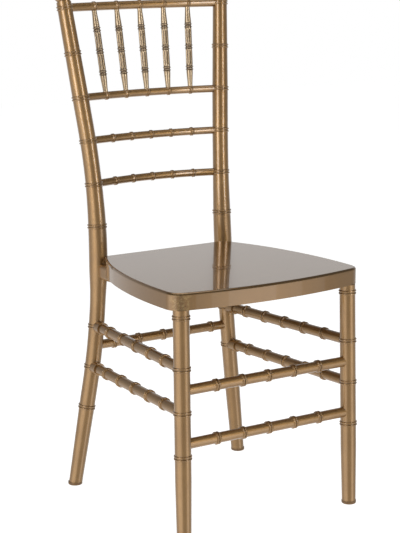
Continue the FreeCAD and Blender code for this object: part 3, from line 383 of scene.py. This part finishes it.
def reeded_spindle(name):
    """Mesh of one spindle in place of its solid, on the axis of that solid."""
    start, end, axis = spindle_ends(frame["nodes"][name])
    side = axis.cross(Vector((0, 1, 0))).normalized()
    other = axis.cross(side)
    mesh = bmesh.new()
    rings, grooves = [], []
    for station in range(STATIONS + 1):
        share = station / STATIONS
        centre = start.lerp(end, share)
        ring, depths = [], []
        for step in range(SIDES):
            angle = 2 * math.pi * step / SIDES
            radius, depth = spindle_surface(share - 0.5, angle)
            outward = math.cos(angle) * side + math.sin(angle) * other
            ring.append(mesh.verts.new(centre + radius / 1000 * outward))
            depths.append(depth)
        rings.append(ring)
        grooves.append(depths)
    for low, high, depths in zip(rings, rings[1:], grooves):
        for step in range(SIDES):
            after = (step + 1) % SIDES
            face = mesh.faces.new((low[step], low[after], high[after], high[step]))
            # Faces deep in a groove take the darker copy of the lacquer, as painted shade
            face.material_index = 1 if depths[step] > GROOVE_FROM else 0
    mesh.faces.new(reversed(rings[0]))
    mesh.faces.new(rings[-1])
    bmesh.ops.recalc_face_normals(mesh, faces=mesh.faces)
    data = bpy.data.meshes.new(name + "_turned")
    mesh.to_mesh(data)
    mesh.free()
    for face in data.polygons:
        face.use_smooth = len(face.vertices) == 4
    piece = bpy.data.objects.new(name + "_turned", data)
    scene.collection.objects.link(piece)
    data.materials.append(materials["spindle_lacquer"])
    data.materials.append(materials["groove_painted_shade"])
    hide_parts(name)
    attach(piece, "root")


for number in range(1, SPINDLES + 1):
    reeded_spindle(f"spindle_{number}")

# A pale floor that neither shows in reflections nor takes light from the chair
bpy.ops.mesh.primitive_plane_add(size=FLOOR_SIZE)
floor = bpy.context.object
floor.name = "floor"
floor_paint = Paint("floor_paint")
floor_paint.set(Base_Color=FLOOR_GREY, Roughness=0.9, Emission_Color=WHITE, Emission_Strength=FLOOR_GLOW)
floor.data.materials.append(floor_paint.material)
floor.visible_glossy = False
floor.visible_shadow = False

# The studio: white to the camera, and for the chair a soft light that depends on the direction
turn = math.radians(CAMERA_TURN)
TOWARDS_CAMERA = Vector((-math.sin(turn), -math.cos(turn), 0))
CAMERA_LEFT = Vector((-math.cos(turn), math.sin(turn), 0))
world = bpy.data.worlds.new("studio")
scene.world = world
world.use_nodes = True
nodes, links = world.node_tree.nodes, world.node_tree.links
room = nodes["Background"]
room.inputs["Color"].default_value = WHITE
white = nodes.new("ShaderNodeBackground")
white.inputs["Color"].default_value = WHITE
white.inputs["Strength"].default_value = 1
path = nodes.new("ShaderNodeLightPath")
choice = nodes.new("ShaderNodeMixShader")
links.new(path.outputs["Is Camera Ray"], choice.inputs[0])
links.new(room.outputs[0], choice.inputs[1])
links.new(white.outputs[0], choice.inputs[2])
links.new(choice.outputs[0], nodes["World Output"].inputs["Surface"])
direction = nodes.new("ShaderNodeTexCoord").outputs["Generated"]


def math_node(operation, first, second):
    """Result of one math step on the room's strength."""
    node = nodes.new("ShaderNodeMath")
    node.operation = operation
    plug(links, first, node.inputs[0])
    plug(links, second, node.inputs[1])
    return node.outputs[0]


def towards(way):
    """How far a ray points a way, scaled by that way's length."""
    node = nodes.new("ShaderNodeVectorMath")
    node.operation = "DOT_PRODUCT"
    node.inputs[1].default_value = way
    links.new(direction, node.inputs[0])
    return node.outputs["Value"]


slope = towards(ROOM_LEFT * CAMERA_LEFT - ROOM_BACK * TOWARDS_CAMERA + Vector((0, 0, ROOM_UP)))
behind = math_node("POWER", math_node("MAXIMUM", towards(-TOWARDS_CAMERA), 0), GLOW_SHARPNESS)
level = math_node("ADD", math_node("ADD", slope, ROOM_LEVEL), math_node("MULTIPLY", behind, GLOW))
links.new(math_node("MAXIMUM", level, ROOM_LEAST), room.inputs["Strength"])


def area_lamp(name, width, height, radiance, place):
    """A rectangular lamp that shines down until it is turned."""
    light = bpy.data.lights.new(name, "AREA")
    light.shape = "RECTANGLE"
    light.size = width
    light.size_y = height
    light.energy = radiance * math.pi * width * height
    lamp = bpy.data.objects.new(name, light)
    lamp.location = place
    lamp.visible_camera = False
    scene.collection.objects.link(lamp)
    return lamp


def softbox(name, angle, distance, width, bottom, top, radiance):
    """An upright lamp that faces the chair's axis, at an angle left of the camera, in degrees."""
    around = math.radians(angle)
    place = distance * (math.cos(around) * TOWARDS_CAMERA + math.sin(around) * CAMERA_LEFT)
    place.z = (bottom + top) / 2
    lamp = area_lamp(name, width, top - bottom, radiance, place)
    aim = Vector((0, 0, place.z))
    lamp.rotation_euler = (aim - place).to_track_quat("-Z", "Y").to_euler()
    return lamp


# The two strong lamps draw the bands on the posts and leave the mirror of the seat plain
ringed = bpy.data.collections.new("ringed")
for thing in bpy.data.objects:
    if thing.type == "MESH" and thing != frame["nodes"]["seat_shell"]:
        ringed.objects.link(thing)
for row in BAND_LAMPS:
    softbox(*row).light_linking.receiver_collection = ringed
for row in LOW_LAMPS:
    softbox(*row)
area_lamp("top_lamp", TOP_LAMP_SIZE, TOP_LAMP_SIZE, TOP_LAMP_RADIANCE, (0, 0, TOP_LAMP_HEIGHT))

camera_data = bpy.data.cameras.new("camera")
camera = bpy.data.objects.new("camera", camera_data)
scene.collection.objects.link(camera)
camera.location = CAMERA_PLACE
camera.rotation_euler = (math.radians(90 - CAMERA_DOWN), 0, -turn)
camera_data.sensor_width = SENSOR_MM
camera_data.lens = SENSOR_MM * FOCAL_LENGTH_PX / PHOTO_HEIGHT_PX
camera_data.shift_y = SHIFT_PX / PHOTO_HEIGHT_PX
scene.camera = camera
